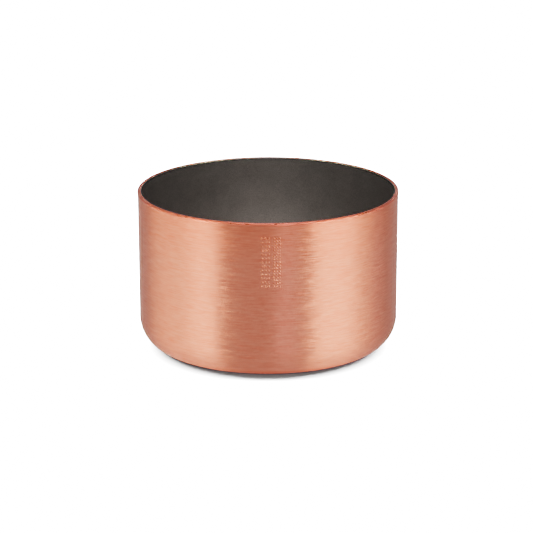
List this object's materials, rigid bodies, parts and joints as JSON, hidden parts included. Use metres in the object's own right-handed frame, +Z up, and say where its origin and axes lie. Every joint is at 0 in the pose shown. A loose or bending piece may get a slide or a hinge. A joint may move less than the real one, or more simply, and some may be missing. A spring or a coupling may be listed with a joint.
{
  "type": "handleless copper pot",
  "caption": "Round straight-sided copper pot with no handle: brushed outside, rounded lip, wide bottom corner radius, thin steel lining and a dark non-stick inside.",
  "frame": {"origin": "on the pot's axis of revolution, at the middle of the flat underside that it stands on", "axes": "+Z up along the axis, out of the mouth; -Y towards the side with the small raised mark, which is the front; +X to the right of that view"},
  "size_m": [0.14, 0.14, 0.086],
  "materials": {
    "brushed_copper": "brushed round the axis, satin",
    "satin_steel": "satin, turned edge",
    "dark_nonstick": "matte, finely speckled"
  },
  "bodies": {
    "root": {"copper_shell": "brushed_copper", "steel_lining": "satin_steel", "nonstick_coating": "dark_nonstick"}
  },
  "joints": []
}
